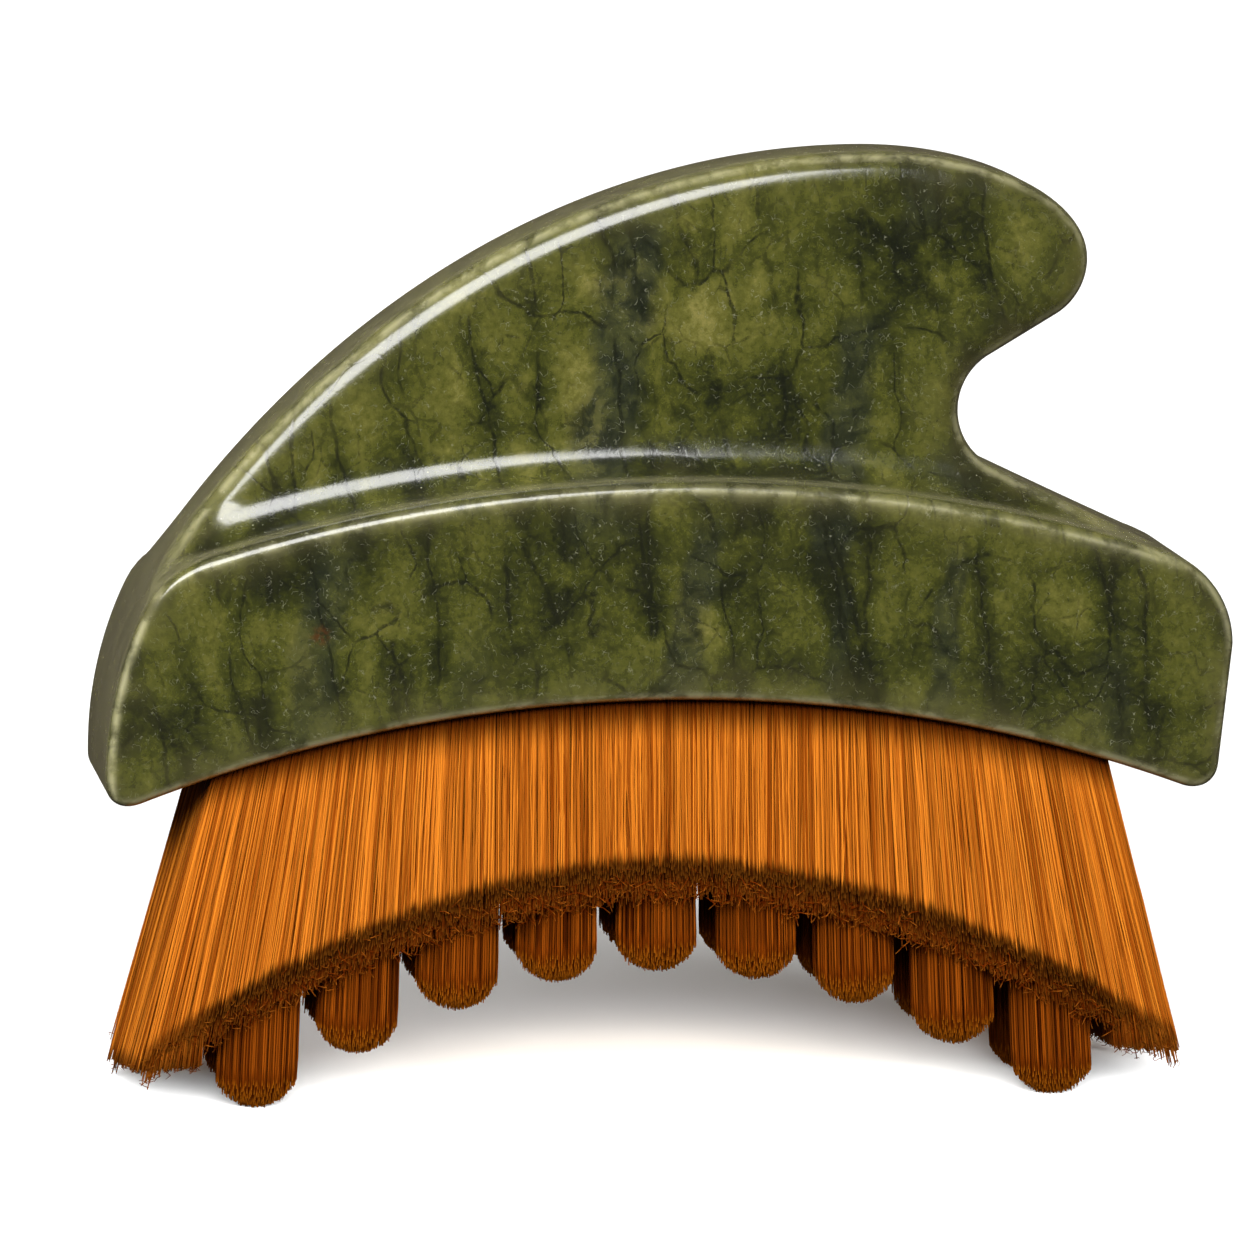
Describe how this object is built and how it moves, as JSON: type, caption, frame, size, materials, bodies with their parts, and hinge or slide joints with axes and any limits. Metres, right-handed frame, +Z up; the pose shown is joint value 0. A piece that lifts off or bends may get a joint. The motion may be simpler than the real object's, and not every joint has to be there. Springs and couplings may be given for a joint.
{
  "type": "gua sha scraper",
  "caption": "Hand-held massage scraper: a polished stone fin with a finger notch on a thick arched foot, set underneath with a flared wall of bristles round two rows of bristle tufts.",
  "frame": {"origin": "on the surface that the outer tufts stand on, under the middle of the stone", "axes": "+X along the foot towards the beak and the finger notch, +Y through the thickness from the front face to the rear face, +Z up"},
  "size_m": [0.1127, 0.0244, 0.0949],
  "materials": {
    "stone": "polished green stone with cloudy mottling and dark veins",
    "insert": "matt moulded plastic",
    "adhesive": "cured resin",
    "wire": "drawn flat wire",
    "wall_bristle": "golden brown nylon filament, darker at the tips",
    "tuft_bristle": "darker brown nylon filament with domed tips"
  },
  "bodies": {
    "root": {"stone_handle": "stone", "insert_plate": "insert", "adhesive_bed": "adhesive", "tuft_anchors": "wire", "left_end_skirt": "wall_bristle", "right_end_skirt": "wall_bristle", "front_skirt_1": "wall_bristle", "front_skirt_2": "wall_bristle", "front_skirt_3": "wall_bristle", "front_skirt_4": "wall_bristle", "front_skirt_5": "wall_bristle", "rear_skirt_1": "wall_bristle", "rear_skirt_2": "wall_bristle", "rear_skirt_3": "wall_bristle", "rear_skirt_4": "wall_bristle", "rear_skirt_5": "wall_bristle", "front_tuft_1": "tuft_bristle", "front_tuft_2": "tuft_bristle", "front_tuft_3": "tuft_bristle", "front_tuft_4": "tuft_bristle", "front_tuft_5": "tuft_bristle", "front_tuft_6": "tuft_bristle", "front_tuft_7": "tuft_bristle", "front_tuft_8": "tuft_bristle", "front_tuft_9": "tuft_bristle", "rear_tuft_1": "tuft_bristle", "rear_tuft_2": "tuft_bristle", "rear_tuft_3": "tuft_bristle", "rear_tuft_4": "tuft_bristle", "rear_tuft_5": "tuft_bristle", "rear_tuft_6": "tuft_bristle", "rear_tuft_7": "tuft_bristle", "rear_tuft_8": "tuft_bristle", "rear_tuft_9": "tuft_bristle"}
  },
  "joints": []
}
